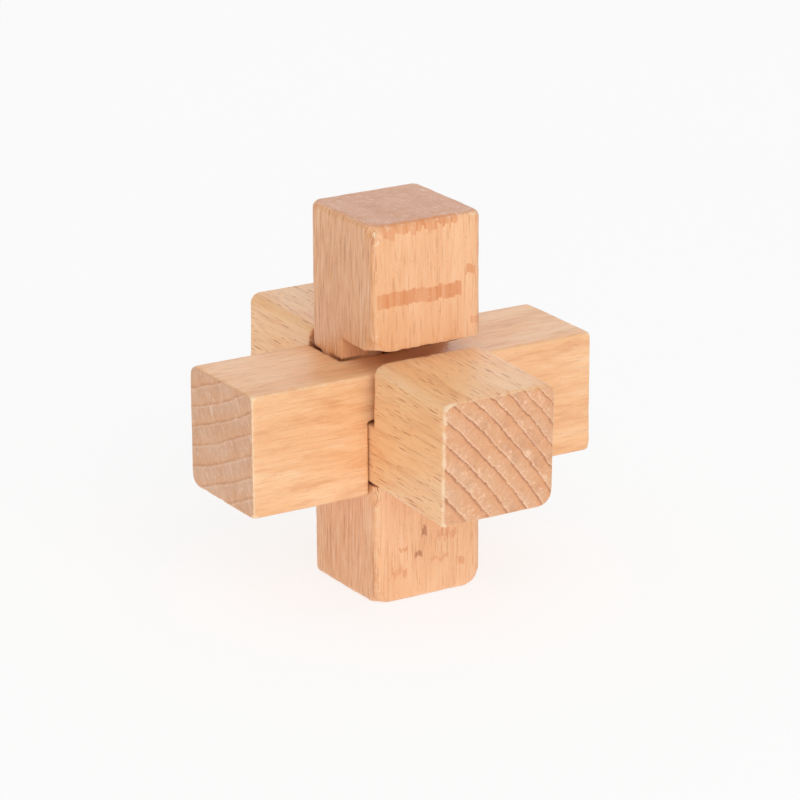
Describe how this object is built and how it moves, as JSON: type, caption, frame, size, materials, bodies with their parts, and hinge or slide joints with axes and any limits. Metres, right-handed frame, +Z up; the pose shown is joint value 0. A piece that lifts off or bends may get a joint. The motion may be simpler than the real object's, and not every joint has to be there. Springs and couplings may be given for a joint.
{
  "type": "three-stick burr puzzle",
  "caption": "Interlocking wooden puzzle: notched square beech sticks cross at right angles and are locked by a turning key stick.",
  "frame": {"origin": "centre of the end face that the upright key stick stands on", "axes": "+Z up along the upright key stick, X along the crosswise stick, -Y towards the front end of the lengthwise stick"},
  "size_m": [0.0778, 0.0762, 0.0778],
  "materials": {
    "beech_upright": "bare sanded beech, quarter-sawn front with ray flecks",
    "beech_crosswise": "bare sanded beech, soft straight grain",
    "beech_lengthwise": "bare sanded beech, flat-sawn with dark ray dashes"
  },
  "bodies": {
    "upright": {"upright_key_stick": "beech_upright"},
    "crosswise": {"crosswise_stick": "beech_crosswise"},
    "lengthwise": {"lengthwise_stick": "beech_lengthwise"}
  },
  "joints": [
    {"name": "key_turn", "type": "hinge", "parent": "upright", "child": "crosswise", "pos_m": [-0.0064, 0.00625, 0.0353], "axis": [0, 0, -1], "range_deg": [0, 90]},
    {"name": "lengthwise_rock", "type": "hinge", "parent": "crosswise", "child": "lengthwise", "pos_m": [0, -0.0004, 0.0383], "axis": [1, 0, 0], "range_deg": [-4, 0]}
  ]
}
